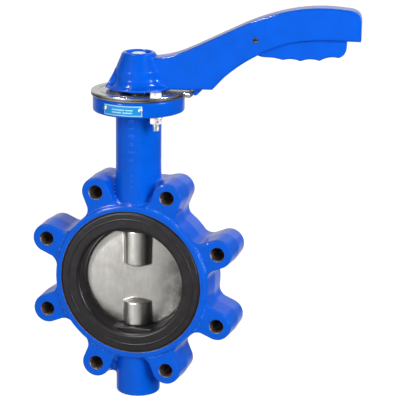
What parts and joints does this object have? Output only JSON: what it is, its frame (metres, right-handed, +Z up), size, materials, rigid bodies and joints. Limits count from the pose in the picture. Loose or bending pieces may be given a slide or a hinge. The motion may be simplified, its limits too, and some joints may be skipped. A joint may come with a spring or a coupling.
{
  "type": "lugged butterfly valve",
  "caption": "Lugged butterfly valve with a blue ribbed iron body, rubber seat, stainless disc and a notched hand lever with a squeeze latch.",
  "frame": {"origin": "where the pipe axis crosses the stem axis, midway between the two pipe faces", "axes": "+Z up the stem to the lever, -Y out of the front pipe face, +X where the closed lever points"},
  "size_m": [0.2975, 0.0941, 0.3725],
  "materials": {
    "body_paint": "glossy blue epoxy over a sand casting",
    "lever_paint": "glossy blue epoxy over a smooth casting",
    "latch_paint": "glossy blue epoxy over a smooth casting",
    "seat_rubber": "moulded black rubber with a soft sheen",
    "seal_rubber": "smooth moulded rubber",
    "disc_steel": "satin cast stainless steel",
    "stem_steel": "ground stainless steel",
    "plate_steel": "bright zinc plated pressed steel",
    "zinc_plate": "bright zinc plate",
    "spring_steel": "oiled spring steel",
    "bronze": "machined bronze",
    "label": "printed aluminium strip, cyan with a pale border"
  },
  "bodies": {
    "valve_body": {"body_casting": "body_paint", "seat_liner": "seat_rubber", "lower_neck_bush": "bronze", "middle_neck_bush": "bronze", "upper_neck_bush": "bronze", "bottom_bush": "bronze", "stem_seal_lower": "seal_rubber", "stem_seal_upper": "seal_rubber", "thrust_washer": "bronze", "retaining_ring": "spring_steel", "bottom_plug": "zinc_plate", "plug_gasket": "seal_rubber", "notch_plate": "plate_steel", "plate_bolt_front": "zinc_plate", "plate_washer_front": "zinc_plate", "plate_nut_front": "zinc_plate", "plate_bolt_rear": "zinc_plate", "plate_washer_rear": "zinc_plate", "plate_nut_rear": "zinc_plate", "rating_plate": "label", "rating_plate_rivet_left": "zinc_plate", "rating_plate_rivet_right": "zinc_plate"},
    "rotor": {"disc": "disc_steel", "upper_stem": "stem_steel", "lower_stem": "stem_steel", "lever_arm": "lever_paint", "lever_washer": "zinc_plate", "lever_screw": "zinc_plate", "latch_pivot_pin": "spring_steel", "latch_spring": "spring_steel"},
    "latch": {"latch_trigger": "latch_paint"}
  },
  "joints": [
    {"name": "stem_turn", "type": "hinge", "parent": "valve_body", "child": "rotor", "pos_m": [0, 0, 0], "axis": [0, 0, 1], "range_deg": [-10, 80]},
    {"name": "latch_squeeze", "type": "hinge", "parent": "rotor", "child": "latch", "pos_m": [0.10537, 0.01858, 0.2284], "axis": [0.1736, -0.9848, 0], "range_deg": [0, 6], "stiffness_Nm_per_rad": 2, "springref_deg": -20.05, "deforming": ["latch_spring"]}
  ]
}
